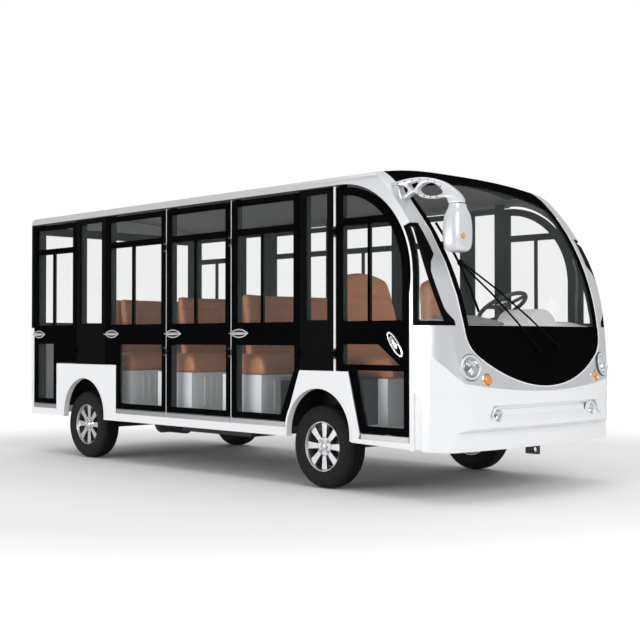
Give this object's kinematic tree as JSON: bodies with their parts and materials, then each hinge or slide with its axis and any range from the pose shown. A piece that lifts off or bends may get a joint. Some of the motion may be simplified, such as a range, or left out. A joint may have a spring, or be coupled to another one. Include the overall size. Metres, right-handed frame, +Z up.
{
  "type": "electric sightseeing bus",
  "caption": "Enclosed electric sightseeing bus with glazed side doors on hinges, bowed black front with a large windscreen, bench seats, steered front axle and rolling wheels.",
  "frame": {"origin": "on the ground at the middle of the length and width", "axes": "+X forward, +Y to the left, +Z up"},
  "size_m": [4.9118, 1.903, 2.16],
  "materials": {
    "chassis_black": "black paint",
    "battery": "black case",
    "floor_pan": "grey sheet",
    "wheel_wells": "black moulding",
    "body_lower": "pearl white gel coat",
    "body_upper": "silver metallic",
    "side_frame": "gloss black",
    "pillar_strips": "white paint",
    "glass": "clear",
    "roof_panel": "silver gel coat",
    "screen_surround": "gloss black",
    "screen_glass": "clear laminated",
    "dashboard": "beige grey",
    "seat_boxes": "pale blue grey moulding",
    "leather": "caramel leather",
    "clear_lamps": "clear lens",
    "amber_lamps": "amber lens",
    "tail_lamps": "red lens",
    "wing_mirror": "white and silver moulding",
    "wiper": "black",
    "steering_column": "black",
    "sill_plates": "brushed",
    "steering_wheel": "black",
    "tyre": "moulded rubber",
    "alloy": "silver painted alloy",
    "door_black": "gloss black"
  },
  "bodies": {
    "body": {"chassis_frame": "chassis_black", "front_axle": "chassis_black", "rear_axle": "chassis_black", "leaf_springs": "chassis_black", "battery_block": "battery", "floor_pan": "floor_pan", "wheel_wells": "wheel_wells", "body_lower": "body_lower", "body_upper": "body_upper", "side_frame": "side_frame", "pillar_strips": "pillar_strips", "fixed_glass": "glass", "roof_panel": "roof_panel", "screen_surround": "screen_surround", "windscreen": "screen_glass", "dashboard": "dashboard", "seat_boxes": "seat_boxes", "seat_cushions": "leather", "seat_backs": "leather", "clear_lamps": "clear_lamps", "amber_lamps": "amber_lamps", "tail_lamps": "tail_lamps", "wing_mirror": "wing_mirror", "wiper": "wiper", "steering_column": "steering_column", "sill_plates": "sill_plates"},
    "door_l1": {"door_l1": "door_black", "glass_l1": "glass"},
    "door_l2": {"door_l2": "door_black", "glass_l2": "glass"},
    "door_l3": {"door_l3": "door_black", "glass_l3": "glass"},
    "door_l4": {"door_l4": "door_black", "glass_l4": "glass"},
    "door_l5": {"door_l5": "door_black", "glass_l5": "glass"},
    "door_r1": {"door_r1": "door_black", "glass_r1": "glass"},
    "door_r2": {"door_r2": "door_black", "glass_r2": "glass"},
    "door_r3": {"door_r3": "door_black", "glass_r3": "glass"},
    "door_r4": {"door_r4": "door_black", "glass_r4": "glass"},
    "door_r5": {"door_r5": "door_black", "glass_r5": "glass"},
    "knuckle_left": {"knuckle_left": "chassis_black"},
    "knuckle_right": {"knuckle_right": "chassis_black"},
    "wheel_fl": {"tyre_fl": "tyre", "rim_fl": "alloy"},
    "wheel_fr": {"tyre_fr": "tyre", "rim_fr": "alloy"},
    "wheel_rl": {"tyre_rl": "tyre", "rim_rl": "alloy"},
    "wheel_rr": {"tyre_rr": "tyre", "rim_rr": "alloy"},
    "steering_wheel": {"steering_wheel": "steering_wheel"}
  },
  "joints": [
    {"name": "door_l1_hinge", "type": "hinge", "parent": "body", "child": "door_l1", "pos_m": [1.3995, 0.939, 1.3115], "axis": [0, 0, 1], "range_deg": [0, 72]},
    {"name": "door_r1_hinge", "type": "hinge", "parent": "body", "child": "door_r1", "pos_m": [1.3995, -0.939, 1.3115], "axis": [0, 0, -1], "range_deg": [0, 72]},
    {"name": "door_l2_hinge", "type": "hinge", "parent": "body", "child": "door_l2", "pos_m": [1.0445, 0.939, 1.3115], "axis": [0, 0, -1], "range_deg": [0, 72]},
    {"name": "door_r2_hinge", "type": "hinge", "parent": "body", "child": "door_r2", "pos_m": [1.0445, -0.939, 1.3115], "axis": [0, 0, 1], "range_deg": [0, 72]},
    {"name": "door_l3_hinge", "type": "hinge", "parent": "body", "child": "door_l3", "pos_m": [0.31554, 0.939, 1.3115], "axis": [0, 0, -1], "range_deg": [0, 72]},
    {"name": "door_r3_hinge", "type": "hinge", "parent": "body", "child": "door_r3", "pos_m": [0.31554, -0.939, 1.3115], "axis": [0, 0, 1], "range_deg": [0, 72]},
    {"name": "door_l4_hinge", "type": "hinge", "parent": "body", "child": "door_l4", "pos_m": [-0.46501, 0.939, 1.3115], "axis": [0, 0, -1], "range_deg": [0, 72]},
    {"name": "door_r4_hinge", "type": "hinge", "parent": "body", "child": "door_r4", "pos_m": [-0.46501, -0.939, 1.3115], "axis": [0, 0, 1], "range_deg": [0, 72]},
    {"name": "door_l5_hinge", "type": "hinge", "parent": "body", "child": "door_l5", "pos_m": [-1.7255, 0.939, 1.3115], "axis": [0, 0, -1], "range_deg": [0, 72]},
    {"name": "door_r5_hinge", "type": "hinge", "parent": "body", "child": "door_r5", "pos_m": [-1.7255, -0.939, 1.3115], "axis": [0, 0, 1], "range_deg": [0, 72]},
    {"name": "steer_left", "type": "hinge", "parent": "body", "child": "knuckle_left", "pos_m": [1.211, 0.69, 0.2805], "axis": [0, 0, 1], "range_deg": [-32, 32]},
    {"name": "steer_right", "type": "hinge", "parent": "body", "child": "knuckle_right", "pos_m": [1.211, -0.69, 0.2805], "axis": [0, 0, 1], "range_deg": [-32, 32]},
    {"name": "steering_wheel_turn", "type": "hinge", "parent": "body", "child": "steering_wheel", "pos_m": [1.766, 0.4, 1.235], "axis": [-0.5299, 0, 0.848], "range_deg": [-448, 448]},
    {"name": "wheel_fl_spin", "type": "hinge", "parent": "knuckle_left", "child": "wheel_fl", "pos_m": [1.211, 0.8, 0.2805], "axis": [0, 1, 0], "continuous": true},
    {"name": "wheel_fr_spin", "type": "hinge", "parent": "knuckle_right", "child": "wheel_fr", "pos_m": [1.211, -0.8, 0.2805], "axis": [0, 1, 0], "continuous": true},
    {"name": "wheel_rl_spin", "type": "hinge", "parent": "body", "child": "wheel_rl", "pos_m": [-1.644, 0.8, 0.2805], "axis": [0, 1, 0], "continuous": true},
    {"name": "wheel_rr_spin", "type": "hinge", "parent": "body", "child": "wheel_rr", "pos_m": [-1.644, -0.8, 0.2805], "axis": [0, 1, 0], "continuous": true}
  ],
  "couplings": [
    {"joint": "steer_right", "follows": "steer_left", "ratio": 1},
    {"joint": "steering_wheel_turn", "follows": "steer_left", "ratio": 14}
  ]
}
